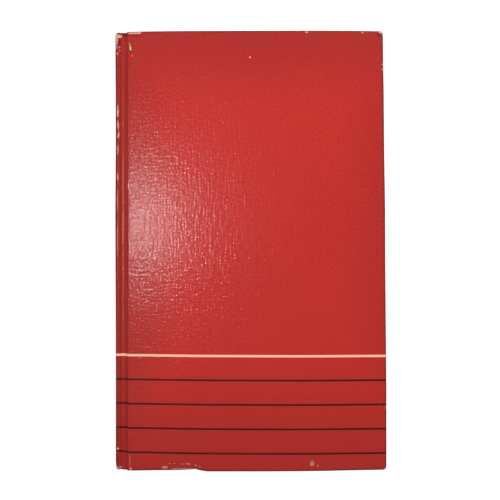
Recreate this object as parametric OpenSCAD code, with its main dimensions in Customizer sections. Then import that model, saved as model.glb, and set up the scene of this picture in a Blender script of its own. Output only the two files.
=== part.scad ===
// Case-bound hardback book, lying closed on its back cover.
// X runs from the spine to the fore-edge, Y from the tail to the head and Z from the back cover up
// to the front cover. The origin is under the middle of the book, on the surface that it lies on.

/* [Leaves] */
// Width of a leaf, from its bound edge to the fore-edge
leaf_w = 113.8; // [80:0.1:180]
// Height of a leaf
leaf_h = 189; // [130:1:280]
// Thickness of the whole pack of leaves
block_t = 19.8; // [8:0.2:45]
// How far the bound edge of the pack bulges between its two sides
back_rise = 0.6; // [0.2:0.1:1.2]
// Thickness of an endpaper leaf
paper_t = 0.15; // [0.1:0.05:0.3]
// Play between an endpaper on a board and the leaf that faces it
leaf_gap = 0.1; // [0.05:0.05:0.4]

/* [Boards] */
// Thickness of a cover board
board_t = 2.2; // [1.6:0.1:3.4]
// How far the boards stand out past the leaves at head, tail and fore-edge
square_w = 3; // [1.5:0.1:5]
// Radius of a board's two outer corners
board_r = 0.9; // [0.5:0.1:5]
// Thickness of the board strip that stiffens the spine
stiff_t = 1.2; // [0.6:0.1:1.8]

/* [Covering] */
// Thickness of the covering
cover_t = 0.35; // [0.25:0.05:0.5]
// Width of the covering that is turned in over the boards' edges
turn_w = 15; // [8:0.5:22]
// Outer radius of the covering where it folds over an edge
fold_r = 0.55; // [0.52:0.01:0.9]
// Radius of the spine's ends, seen from the front cover
cap_r = 2.2; // [0.8:0.1:3]
// How far the endpapers stay back from the boards' edges
paste_margin = 3; // [1.5:0.1:6]

/* [Joint groove] */
// From the spine's ridge to the deepest line of the groove
ridge_run = 1.45; // [1.2:0.05:2.4]
// From the deepest line of the groove to the wall of a board
wall_run = 2.6; // [2.2:0.1:5]
// Play between the turned-in covering under the groove and the endpaper
floor_gap = 0.25; // [0.1:0.05:0.4]
// How far the spine's ridge stands above the bottom of the groove
ridge_rise = 0.7; // [0.3:0.05:0.9]
// How far the groove rises again where it meets the board's wall
foot_rise = 0.4; // [0.1:0.05:0.7]
// Radius of the ridge's outer corner
ridge_r = 0.6; // [0.52:0.02:1]
// Radius at the foot of the board's wall
foot_r = 0.3; // [0.1:0.05:0.4]
// Gap in the covering along a cover's hinge line
split_w = 0.3; // [0.2:0.05:0.6]
// Room between an opened board and the spine
wall_gap = 0.6; // [0.4:0.05:1]

/* [Spine] */
// Depth of the hollow between the spine and the lining
hollow_w = 0.3; // [0.2:0.05:1]
// Thickness of the paper lining on the leaves' backs
lining_t = 0.15; // [0.1:0.05:0.3]
// How far the lining stops short of the leaves' ends
lining_inset = 2; // [1:0.5:6]
// Thickness of the gauze that ties the leaves to the boards
gauze_t = 0.2; // [0.1:0.05:0.3]
// Width of a gauze flap under an endpaper
flap_w = 22; // [10:1:35]
// How far the gauze stops short of the turned-in covering
gauze_gap = 1.5; // [0.5:0.5:5]
// Radius of the bead on a headband
bead_r = 0.8; // [0.5:0.05:1.2]

/* [Stripes] */
// Height of the lowest stripe's middle above the tail edge
stripe_first = 7.9; // [4:0.1:20]
// Distance from one stripe to the next
stripe_pitch = 10.75; // [6:0.25:14]
// Number of black stripes under the cream one
black_count = 4; // [1:1:6]
// Width of a black stripe
black_w = 0.75; // [0.4:0.05:2]
// Width of the cream stripe
cream_w = 1.15; // [0.6:0.05:3]
// Depth of the stamped stripes
ink_t = 0.1; // [0.05:0.01:0.15]

/* [Hidden] */

$fn = 48;
arc_steps = 6;
curve_steps = 12;
back_steps = 14;
sweep_fn = 360;
// How far a cutting solid reaches past what it cuts
past = 1;

// Distances across the book are counted from the outer face of the spine
crest_u = cover_t + stiff_t;
inner_u = crest_u + cover_t;
groove_u = crest_u + ridge_run;
wall_u = groove_u + wall_run;
back_u = inner_u + hollow_w + lining_t + gauze_t;
leaf_u = back_u + back_rise;
fore_u = leaf_u + leaf_w;
case_w = fore_u + square_w + cover_t;
board_u = wall_u + cover_t;
board_end_u = case_w - cover_t;
foot_u = wall_u - foot_r;

// Heights are counted from the surface under the back cover
face_z = cover_t + board_t;
cover_z = face_z + cover_t;
fly_z = cover_z + paper_t + leaf_gap;
block_z = fly_z + paper_t;
case_t = 2 * block_z + block_t;
groove_z = fly_z - floor_gap - 2 * cover_t;
ridge_z = groove_z - ridge_rise;
foot_z = groove_z - foot_rise;
stiff_z = ridge_z + cover_t;

// Lengths are counted from the middle of the book
leaf_half = leaf_h / 2;
board_half = leaf_half + square_w;
case_half = board_half + cover_t;
gauze_half = board_half - turn_w - gauze_gap;

// The hinge line, which leaves room for the opened cover beside the spine
hinge_u = (wall_u - wall_gap) / 2;

// The rounded back of the pack is an arc through its two sides
back_radius = (pow(block_t / 2, 2) + pow(back_rise, 2)) / (2 * back_rise);
back_angle = asin(block_t / 2 / back_radius);
middle_z = case_t / 2;

cream_y = stripe_first + black_count * stripe_pitch - case_half;

covering_red = "#b3302d";
black_ink = "#1d1512";
cream_ink = "#efc9a4";
grey_board = "#a39a8b";
endpaper_cream = "#ece4cf";
leaf_cream = "#e3d8bd";
gauze_white = "#e6dfcd";
kraft_brown = "#b08b5f";
band_red = "#c9514b";

// Points and sections

function arc_points(centre, radius, first, last, steps) = [
    for (i = [0 : steps])
        let (angle = first + (last - first) * i / steps)
            [centre.x + radius * cos(angle), centre.y + radius * sin(angle)]
];

function reversed(points) = [for (i = [len(points) - 1 : -1 : 0]) points[i]];
function without_first(points) = [for (i = [1 : len(points) - 1]) points[i]];

// Height of the joint strip's outer face, from the spine's ridge to the foot of the board's wall
function ease(t) = (1 - cos(180 * t)) / 2;
function strip_z(u) =
    u < groove_u
        ? ridge_z + ridge_rise * ease((u - crest_u) / (groove_u - crest_u))
        : groove_z - foot_rise * ease((u - groove_u) / (foot_u - groove_u));

// Lines of the section, each at a depth d under the covering's outer face

function strip_line(from_u, to_u, d) = [
    for (i = [0 : curve_steps])
        let (u = from_u + (to_u - from_u) * i / curve_steps)
            [u, strip_z(u) + d]
];

function cover_strip(d) = strip_line(hinge_u + split_w / 2, foot_u, d);
function spine_strip(d) = strip_line(crest_u, hinge_u - split_w / 2, d);

// The board's part of a cover: up the wall, over the face and round the fore-edge
function board_line(d) = concat(
    arc_points([foot_u, foot_z - foot_r], foot_r + d, 90, 0, arc_steps),
    arc_points([wall_u + fold_r, fold_r], fold_r - d, 180, 270, arc_steps),
    arc_points([case_w - fold_r, fold_r], fold_r - d, 270, 360, arc_steps),
    arc_points([case_w - fold_r, cover_z - fold_r], fold_r - d, 0, 90, arc_steps)
);

function cover_line(d) = concat(
    cover_strip(d),
    without_first(board_line(d)),
    [[board_end_u - turn_w, cover_z - d]]
);

// Half of the spine, from the middle of its outer face to the hinge line under the back ridge
function half_spine(d) = concat(
    [[d, middle_z]],
    arc_points([ridge_r, ridge_z + ridge_r], ridge_r - d, 180, 270, arc_steps),
    spine_strip(d)
);

function spine_line(d) = concat(
    [for (p = reversed(half_spine(d))) [p.x, case_t - p.y]],
    without_first(half_spine(d))
);

module between(outer, inner) {
    polygon(concat(outer, reversed(inner)));
}

// The covering's section from depth d0 to depth d1, on a cover and on the spine
module cover_layer(d0, d1) {
    between(cover_line(d0), cover_line(d1));
}

module spine_layer(d0, d1) {
    between(spine_line(d0), spine_line(d1));
}

// Frames and envelopes

module along_y(y0, y1) {
    translate([0, y1, 0])
        rotate([90, 0, 0])
            linear_extrude(y1 - y0)
                children();
}

module placed() {
    translate([-case_w / 2, 0, 0])
        children();
}

// The front cover is the back cover's mirror image
module mirrored_up() {
    translate([0, 0, case_t])
        mirror([0, 0, 1])
            children();
}

module block(u0, u1, y0, y1, z0, z1) {
    translate([u0, y0, z0])
        cube([u1 - u0, y1 - y0, z1 - z0]);
}

// What is cut from a square corner of the given radius, whose point is at the origin
module corner_waste(radius) {
    difference() {
        translate([-radius, -radius])
            square(radius + past);
        translate([-radius, -radius])
            circle(radius);
    }
}

// Rounds the four upright corners of the case, set in by a distance
module case_corners(inset) {
    for (side = [0, 1])
        mirror([0, side, 0])
            translate([0, case_half - inset, -past]) {
                translate([case_w - inset, 0, 0])
                    linear_extrude(case_t + 2 * past)
                        corner_waste(board_r + cover_t - inset);
                translate([inset, 0, 0])
                    mirror([1, 0, 0])
                        linear_extrude(case_t + 2 * past)
                            corner_waste(cap_r - inset);
            }
}

// Rounds the head and tail edges of what lies between two heights
module edge_corners(z0, z1) {
    for (side = [0, 1], low = [0, 1])
        mirror([0, side, 0])
            translate([-past, case_half, low == 1 ? z0 : z1])
                mirror([0, 0, low])
                    rotate([90, 0, 90])
                        linear_extrude(case_w + 2 * past)
                            corner_waste(fold_r);
}

// The two stretches at head and tail where the covering is turned in
module at_both_ends() {
    along_y(board_half - turn_w, case_half)
        children();
    along_y(-case_half, turn_w - board_half)
        children();
}

module stripe_at(y, width) {
    along_y(y - width / 2, y + width / 2)
        children();
}

module cream_row() {
    stripe_at(cream_y, cream_w)
        children();
}

module black_rows() {
    for (i = [0 : black_count - 1])
        stripe_at(stripe_first + i * stripe_pitch - case_half, black_w)
            children();
}

module all_rows() {
    cream_row()
        children();
    black_rows()
        children();
}

// One cover

module board() {
    difference() {
        block(board_u, board_end_u, -board_half, board_half, cover_t, face_z);
        case_corners(cover_t);
    }
}

module covering_body() {
    difference() {
        union() {
            along_y(-case_half, case_half)
                cover_layer(0, cover_t);
            at_both_ends() {
                polygon(concat(board_line(0), [[wall_u, cover_z]]));
                between(
                    concat(cover_strip(cover_t / 2), [[wall_u, foot_z + cover_t / 2]]),
                    concat(cover_strip(2 * cover_t), [[wall_u, foot_z + 2 * cover_t]])
                );
            }
        }
        case_corners(0);
        edge_corners(0, cover_z);
    }
}

module covering() {
    difference() {
        covering_body();
        board();
        all_rows()
            cover_layer(-ink_t / 2, ink_t);
    }
}

module gauze_flap() {
    block(board_u, board_u + flap_w, -gauze_half, gauze_half, face_z, face_z + gauze_t);
}

// What lies on the inside of the board, with a sheet of thickness e over it
module under_sheet(e) {
    end_u = board_end_u - paste_margin;
    end_y = board_half - paste_margin;
    turn_y = board_half - turn_w - e;
    block(board_u, end_u, -end_y, end_y, cover_t, face_z + e);
    block(board_u, end_u, turn_y, end_y, cover_t, cover_z + e);
    block(board_u, end_u, -end_y, -turn_y, cover_t, cover_z + e);
    block(board_end_u - turn_w - e, end_u, -end_y, end_y, cover_t, cover_z + e);
    block(
        board_u, board_u + flap_w + e, -gauze_half - e, gauze_half + e,
        cover_t, face_z + gauze_t + e
    );
}

module pastedown() {
    difference() {
        under_sheet(paper_t);
        under_sheet(0);
    }
}

module flyleaf() {
    block(leaf_u, fore_u, -leaf_half, leaf_half, fly_z, block_z);
}

// The leaves and what is glued to their backs

function back_arc(d) = arc_points(
    [back_u + back_radius, middle_z], back_radius + d,
    180 - back_angle, 180 + back_angle, back_steps
);

module leaf_section() {
    between(back_arc(0), [for (p = back_arc(0)) p + [leaf_w, 0]]);
}

module back_layer(d0, d1) {
    between(back_arc(d0), back_arc(d1));
}

module head_band_shape() {
    along_y(gauze_half + gauze_gap, leaf_half + bead_r)
        back_layer(0, gauze_t);
    intersection() {
        translate([back_u + back_radius, leaf_half + bead_r / 2, middle_z])
            rotate([90, 0, 0])
                rotate([0, 0, 180 - back_angle])
                    rotate_extrude(angle = 2 * back_angle, $fn = sweep_fn)
                        translate([back_radius + gauze_t - bead_r, 0])
                            circle(bead_r, $fn = 24);
        block(0, board_u, leaf_half, leaf_half + 2 * bead_r, 0, case_t);
    }
}

// The spine of the case

module stiffener_block() {
    difference() {
        block(cover_t, crest_u, -board_half, board_half, stiff_z, case_t - stiff_z);
        case_corners(cover_t);
    }
}

module spine_end_section() {
    translate([cover_t / 2, stiff_z])
        square([inner_u - cover_t / 2, case_t - 2 * stiff_z]);
    between(spine_strip(cover_t / 2), spine_strip(2 * cover_t));
    translate([0, case_t])
        mirror([0, 1])
            between(spine_strip(cover_t / 2), spine_strip(2 * cover_t));
}

module spine_body() {
    difference() {
        union() {
            along_y(-case_half, case_half)
                spine_layer(0, cover_t);
            at_both_ends()
                spine_end_section();
        }
        case_corners(0);
        edge_corners(ridge_z, case_t - ridge_z);
    }
}

// Nodes of the front cover

module front_board() {
    color(grey_board) placed() mirrored_up() board();
}

module front_covering() {
    color(covering_red) placed() mirrored_up() covering();
}

module front_cream_stripe() {
    color(cream_ink) placed() mirrored_up() cream_row() cover_layer(0, ink_t);
}

module front_black_stripes() {
    color(black_ink) placed() mirrored_up() black_rows() cover_layer(0, ink_t);
}

module front_gauze_flap() {
    color(gauze_white) placed() mirrored_up() gauze_flap();
}

module front_pastedown() {
    color(endpaper_cream) placed() mirrored_up() pastedown();
}

// Nodes of the leaves and the spine

module front_flyleaf() {
    color(endpaper_cream) placed() mirrored_up() flyleaf();
}

module back_flyleaf() {
    color(endpaper_cream) placed() flyleaf();
}

module text_block() {
    color(leaf_cream) placed()
        along_y(-leaf_half, leaf_half)
            leaf_section();
}

module gauze() {
    color(gauze_white) placed()
        along_y(-gauze_half, gauze_half)
            back_layer(0, gauze_t);
}

module spine_lining() {
    color(kraft_brown) placed()
        along_y(lining_inset - leaf_half, leaf_half - lining_inset)
            back_layer(gauze_t, gauze_t + lining_t);
}

module head_band() {
    color(band_red) placed() head_band_shape();
}

module tail_band() {
    color(band_red) placed() mirror([0, 1, 0]) head_band_shape();
}

module spine_stiffener() {
    color(grey_board) placed() stiffener_block();
}

module spine_covering() {
    color(covering_red) placed()
        difference() {
            spine_body();
            stiffener_block();
            all_rows()
                spine_layer(-ink_t / 2, ink_t);
        }
}

module spine_cream_stripe() {
    color(cream_ink) placed() cream_row() spine_layer(0, ink_t);
}

module spine_black_stripes() {
    color(black_ink) placed() black_rows() spine_layer(0, ink_t);
}

// Nodes of the back cover

module back_board() {
    color(grey_board) placed() board();
}

module back_covering() {
    color(covering_red) placed() covering();
}

module back_cream_stripe() {
    color(cream_ink) placed() cream_row() cover_layer(0, ink_t);
}

module back_black_stripes() {
    color(black_ink) placed() black_rows() cover_layer(0, ink_t);
}

module back_gauze_flap() {
    color(gauze_white) placed() gauze_flap();
}

module back_pastedown() {
    color(endpaper_cream) placed() pastedown();
}

front_board();
front_covering();
front_cream_stripe();
front_black_stripes();
front_gauze_flap();
front_pastedown();
front_flyleaf();
text_block();
gauze();
spine_lining();
head_band();
tail_band();
spine_stiffener();
spine_covering();
spine_cream_stripe();
spine_black_stripes();
back_flyleaf();
back_pastedown();
back_gauze_flap();
back_board();
back_covering();
back_cream_stripe();
back_black_stripes();
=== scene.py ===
import functools
import math

import bpy
import bmesh
import numpy as np
from mathutils import Matrix, Vector

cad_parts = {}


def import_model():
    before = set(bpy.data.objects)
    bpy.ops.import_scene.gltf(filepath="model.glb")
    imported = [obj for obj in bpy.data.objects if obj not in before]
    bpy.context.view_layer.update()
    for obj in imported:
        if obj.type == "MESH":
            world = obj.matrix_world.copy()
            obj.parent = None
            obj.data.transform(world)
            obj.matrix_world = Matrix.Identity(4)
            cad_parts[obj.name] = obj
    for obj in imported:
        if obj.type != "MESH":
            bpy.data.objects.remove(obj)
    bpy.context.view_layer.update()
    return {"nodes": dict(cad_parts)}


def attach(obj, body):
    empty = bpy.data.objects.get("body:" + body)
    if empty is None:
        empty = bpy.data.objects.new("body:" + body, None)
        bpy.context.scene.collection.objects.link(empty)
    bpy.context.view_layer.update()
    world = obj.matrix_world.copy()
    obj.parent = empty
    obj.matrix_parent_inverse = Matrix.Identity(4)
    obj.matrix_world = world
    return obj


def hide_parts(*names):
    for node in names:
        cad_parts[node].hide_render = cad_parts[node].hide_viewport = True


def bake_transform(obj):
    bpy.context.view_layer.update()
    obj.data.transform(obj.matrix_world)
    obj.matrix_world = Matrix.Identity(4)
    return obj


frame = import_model()

# The book's sizes in millimetres, as the CAD part has them. Distances across the book, called u,
# are counted from the spine's outer face. Depths are counted from the outer face of a cover.
MM = 0.001
CASE_W, CASE_H, CASE_T = 120.3, 195.7, 26.4
HALF_W, HALF_H = CASE_W / 2, CASE_H / 2
COVER_T, FACE_D, COVER_D = 0.35, 2.55, 2.9
BOARD_U, BOARD_END, BOARD_HALF = 5.95, 119.95, 97.5
SQUARE_W, TURN_W = 3.0, 15.0
WALL_U, FOOT_U, FOOT_R = 5.6, 5.3, 0.3
CREST_U, INNER_U = 1.55, 1.9
RIDGE_D, GROOVE_D, FOOT_D, RIDGE_R = 1.5, 2.2, 1.8, 0.6
GROOVE_START, GROOVE_END = 3.2, 3.8
FOLD_R, BOARD_R, CAP_R = 0.55, 1.25, 2.2
FLAT_HALF = 96.6
PAPER_T, GAUZE_T = 0.15, 0.2
FLAP_W, FLAP_GAP = 22, 1.5
LEAF_U, LEAF_COUNT = 3.15, 160
LEAF_W, LEAF_H, BLOCK_D, BLOCK_T = 113.8, 189.0, 3.3, 19.8
BACK_U, BACK_RADIUS = 2.55, 81.975
STRIPE_FIRST, STRIPE_PITCH, STRIPE_COUNT = 7.9, 10.75, 5
BLACK_W, CREAM_W, INK_BLUR = 0.85, 1.05, 0.07
STRIPE_SLOPE = 0.006

# Kinds of node, and settings that many of them share
MATH, RANGE, MIX = "ShaderNodeMath", "ShaderNodeMapRange", "ShaderNodeMix"
NOISE, BUMP = "ShaderNodeTexNoise", "ShaderNodeBump"
VECTOR, SPLIT, JOIN = "ShaderNodeVectorMath", "ShaderNodeSeparateXYZ", "ShaderNodeCombineXYZ"
PLUS, MINUS, TIMES, OVER, MOST = (
    {"operation": word} for word in ("ADD", "SUBTRACT", "MULTIPLY", "DIVIDE", "MAXIMUM"))
SOFT = {"interpolation_type": "SMOOTHSTEP"}


# Colours, nodes and patterns

def toLinear(code):
    """An sRGB hex code as linear red, green, blue and alpha."""
    parts = [int(code[i:i + 2], 16) / 255 for i in (1, 3, 5)]
    return [p / 12.92 if p <= 0.04045 else ((p + 0.055) / 1.055) ** 2.4 for p in parts] + [1.0]


def feed(node, inputs):
    """Gives inputs of a node an output to link, a hex colour or a plain value."""
    for key, value in inputs.items():
        if isinstance(value, bpy.types.NodeSocket):
            node.id_data.links.new(value, node.inputs[key])
        else:
            node.inputs[key].default_value = toLinear(value) if isinstance(value, str) else value


def add(tree, kind, inputs=(), out=0, **settings):
    """Adds a node with its settings and links, and gives one of its outputs. The inputs are a list
    in the order of the sockets, or a dict with their names or numbers."""
    made = tree.nodes.new(kind)
    for name, value in settings.items():
        setattr(made, name, value)
    feed(made, inputs if isinstance(inputs, dict) else dict(enumerate(inputs)))
    return made.outputs[out]


def combined(tree, values, **how):
    """Many values made one, such as their sum or the largest of them."""
    return functools.reduce(lambda one, other: add(tree, MATH, [one, other], **how), values)


def layered(tree, colour, *layers):
    """A colour with others laid over it, each by its own share."""
    for share, layer in layers:
        colour = add(tree, MIX, {0: share, 6: colour, 7: layer}, 2, data_type="RGBA")
    return colour


def patterns(tree, place, *grains):
    """Random patterns. Each is given by its grain in millimetres, one size or one along each axis,
    and by how much finer detail it has and how strong that is."""
    made = []
    for grain, detail, rough in grains:
        sizes = grain if isinstance(grain, tuple) else (grain, grain, grain)
        spread = add(tree, VECTOR, [place, [1 / (size * MM) for size in sizes]], **TIMES)
        made.append(add(tree, NOISE, {
            "Vector": spread, "Scale": 1.0, "Detail": detail, "Roughness": rough}))
    return made


def ripples(tree, along, apart):
    """Waves from -1 to 1, this many millimetres apart."""
    turns = add(tree, MATH, [along, 2 * math.pi / (apart * MM)], **TIMES)
    return add(tree, MATH, [turns], operation="SINE")


def start_material(name):
    """A new material, its tree and its shader."""
    made = bpy.data.materials.new(name)
    made.use_nodes = True
    return made, made.node_tree, made.node_tree.nodes["Principled BSDF"]


def finished(made, shader, colour, rough, deep, height, strength=1.0):
    """Gives a material its colour, its roughness and its relief, this many millimetres deep."""
    relief = add(made.node_tree, BUMP, {
        "Strength": strength, "Distance": deep * MM, "Height": height})
    feed(shader, {"Base Color": colour, "Roughness": rough, "Normal": relief})
    return made


# Worn places of the covering: x, y and height of the middle in millimetres, the three half-widths,
# the turn about the upright axis in degrees, and how bare the place is
WORN = [
    (-59.3, 95.8, 24.6, 1.9, 0.8, 1.6, 0, 0.85),
    (-59.7, 93.3, 24.4, 0.75, 2.9, 2.0, 0, 0.95),
    (-58.2, 90.9, 24.9, 0.4, 0.35, 1.0, 0, 0.5),
    (-59.1, 88.0, 24.9, 0.35, 0.45, 1.0, 0, 0.6),
    (-58.0, 89.3, 24.9, 0.4, 0.3, 1.0, 0, 0.4),
    (-51.6, 96.8, 26.2, 2.7, 0.42, 1.6, 0, 0.8),
    (-49.2, 96.9, 26.2, 0.9, 0.4, 1.4, 0, 0.9),
    (-53.0, 90.0, 26.4, 0.42, 1.0, 1.0, 8, 1.0),
    (-53.3, 91.3, 26.4, 0.26, 1.2, 1.0, 12, 0.6),
    (-52.2, 86.7, 26.4, 0.3, 0.3, 1.0, 0, 0.4),
    (0.2, 85.9, 26.4, 0.5, 0.45, 1.0, 0, 1.0),
    (25.5, 97.0, 26.2, 0.6, 0.4, 1.0, 0, 0.6),
    (50.3, 96.9, 26.2, 0.7, 0.4, 1.0, 0, 0.6),
    (58.7, 96.9, 26.0, 1.1, 0.6, 1.8, 0, 0.9),
    (59.2, 96.2, 25.8, 0.5, 0.9, 1.8, 0, 0.8),
    (59.2, 82.5, 26.2, 0.45, 0.6, 1.0, 0, 0.7),
    (59.3, 80.3, 26.2, 0.4, 0.5, 1.0, 0, 0.6),
    (60.0, -69.8, 26.1, 0.4, 0.7, 1.0, 0, 0.7),
    (-53.9, 28.6, 26.3, 0.3, 1.5, 0.6, 0, 0.7),
    (-58.9, 62.2, 24.9, 0.45, 2.4, 0.9, 0, 0.72),
    (-58.8, 55.8, 24.9, 0.4, 2.2, 0.8, 4, 0.6),
    (-58.6, 51.5, 24.9, 0.4, 1.4, 0.8, -4, 0.66),
    (-58.9, 44.9, 24.9, 0.4, 1.8, 0.8, 0, 0.5),
    (-58.9, 33.1, 24.9, 0.35, 1.6, 0.8, 0, 0.55),
    (-59.0, 22.0, 24.9, 0.25, 4.0, 0.8, 0, 0.4),
    (-59.0, 5.0, 24.9, 0.25, 7.0, 0.8, 0, 0.35),
    (-58.9, -87.8, 24.9, 0.4, 0.4, 1.0, 0, 0.8),
    (-58.2, -96.0, 24.6, 1.3, 0.4, 1.4, 0, 0.35),
    (-53.4, -93.2, 26.4, 0.2, 2.9, 1.0, 0, 0.24),
    (-53.0, -96.6, 26.2, 0.5, 0.7, 1.4, 0, 0.55),
    (-35.9, -94.1, 26.4, 0.6, 0.2, 1.0, 0, 0.3),
    (-33.7, -94.1, 26.4, 0.4, 0.18, 1.0, 0, 0.26),
    (-30.1, -94.4, 26.4, 0.8, 0.18, 1.0, 0, 0.3),
    (-27.6, -94.3, 26.4, 1.0, 0.28, 1.0, -8, 0.4),
    (-24.3, -94.9, 26.4, 0.75, 0.24, 1.0, -20, 0.4),
    (-22.5, -95.7, 26.4, 0.5, 0.24, 1.0, -20, 0.36),
    (-38.0, -95.9, 26.3, 1.5, 0.6, 1.2, 0, 0.4),
    (-29.8, -96.5, 26.2, 6.0, 0.28, 1.0, 0, 0.5),
    (27.1, -94.2, 26.4, 0.85, 1.0, 1.0, 0, 0.4),
    (29.5, -95.3, 26.4, 0.4, 0.35, 1.0, 0, 0.42),
    (59.8, -96.6, 26.0, 0.8, 0.7, 1.4, 0, 0.6),
    # On the back cover
    (59.6, 97.3, 0.6, 0.9, 0.7, 1.4, 0, 0.9),
    (59.5, -97.2, 0.6, 1.0, 0.8, 1.4, 0, 0.9),
    (-59.3, 96.6, 1.9, 1.1, 0.7, 1.4, 0, 0.8),
    (-59.4, -96.4, 1.9, 1.2, 0.8, 1.5, 0, 0.8),
    (60.0, 41.0, 0.3, 0.4, 1.4, 0.8, 0, 0.5),
    (-20.0, 97.7, 0.3, 2.0, 0.3, 0.8, 0, 0.5),
    (33.0, -97.7, 0.3, 2.4, 0.3, 0.8, 0, 0.5),
    (-59.1, 20.0, 1.6, 0.4, 3.0, 0.8, 0, 0.5),
]

# Dark places, laid out in the same way: grime round the chips, painted shadow in the groove's head
# end, and grime with painted shade along the spine's edge
GRIME_AND_SHADE = [
    (-53.1, 90.1, 26.4, 0.95, 1.9, 1.0, 8, 0.75),
    (-51.0, 95.6, 26.3, 3.6, 0.35, 1.0, 0, 0.7),
    (-55.8, 96.9, 25.0, 1.7, 1.1, 2.0, 0, 0.85),
    (-58.3, 93.5, 24.9, 0.45, 1.9, 1.0, 0, 0.8),
    (-32.0, -96.4, 26.2, 12.0, 0.5, 1.0, 0, 0.5),
    (-59.5, -93.0, 24.6, 0.6, 3.4, 2.0, 0, 0.6),
    (-59.6, 60.0, 24.4, 0.35, 9.0, 1.5, 0, 0.8),
    (-59.6, 42.0, 24.4, 0.35, 9.0, 1.5, 0, 0.8),
    (58.2, 96.1, 26.1, 1.5, 1.3, 1.8, 0, 0.6),
]


def spots(tree, place, ragged, places):
    """How worn the covering is, or how dark with grime and painted shade, from 0 to 1, over all the
    places of a list. A spot fades out between 0.85 and 1.2 of its half-width."""
    found = []
    for x, y, z, rx, ry, rz, turn, most in places:
        within = add(tree, "ShaderNodeMapping", {
            "Vector": place, "Location": (x * MM, y * MM, z * MM),
            "Rotation": (0, 0, math.radians(turn)), "Scale": (rx * MM, ry * MM, rz * MM)},
            vector_type="TEXTURE")
        far = add(tree, VECTOR, [within], "Value", operation="LENGTH")
        far = add(tree, MATH, [far, ragged], **PLUS)
        found.append(add(tree, RANGE, [far, 1.2, 0.85, 0.0, most], **SOFT))
    return combined(tree, found, **MOST)


def rim_darkening(tree, place):
    """Darkening from 0 in the middle of a cover to about 1 at its rims, reaching further in at the
    spine and the tail.
    """
    x, y = add(tree, SPLIT, [place], slice(2))
    spine = add(tree, RANGE, [x, -22 * MM, -58 * MM], **SOFT)
    return combined(tree, [
        add(tree, MATH, [spine, 1.5], operation="POWER"),
        add(tree, RANGE, [x, 36 * MM, 64 * MM, 0.0, 0.6], **SOFT),
        add(tree, RANGE, [y, 58 * MM, 104 * MM, 0.0, 1.2], **SOFT),
        add(tree, RANGE, [y, -30 * MM, -110 * MM], **SOFT)], **MOST)


def stripes(tree, x, y):
    """The stamped stripes, the black ones in one and the cream one: their middles slope a little
    across a cover, and stay level past its ends."""
    share = add(tree, RANGE, [x, 0.0, CASE_W * MM])
    share = add(tree, MATH, [0.5, share], **MINUS)
    rise = add(tree, MATH, [share, STRIPE_SLOPE * CASE_W * MM], **TIMES)
    level = add(tree, MATH, [y, rise], **MINUS)
    made = []
    for i in range(STRIPE_COUNT):
        middle = STRIPE_FIRST + i * STRIPE_PITCH - HALF_H
        half = (CREAM_W if i == STRIPE_COUNT - 1 else BLACK_W) / 2
        off = add(tree, MATH, [add(tree, MATH, [level, middle * MM], **MINUS)], operation="ABSOLUTE")
        made.append(add(tree, RANGE, [off, (half + INK_BLUR) * MM, (half - INK_BLUR) * MM], **SOFT))
    return combined(tree, made[:-1], **MOST), made[-1]


# How deep the linen's grain is pressed, in millimetres, and how strongly its parts show in it. The
# real threads are about 0.7 mm apart, too fine to show, so they are drawn 1.3 and 1.2 mm apart.
GRAIN_DEEP = 0.041
THREAD_X, THREAD_Y, THREAD_SWAY = 1.30, 1.20, 1.2
WEAVE, PITS, WEFT, WARP = 0.15, 0.5, 1.1, 1.1
WEAVE_IN_DIPS, DIP_ROUGH = 0.35, 0.75
EDGE_ROUGH, BARE_ROUGH, BARE_FLAT = 0.5, 0.45, 0.6
RAGGED, RUBBED = 1.9, 0.45


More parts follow.
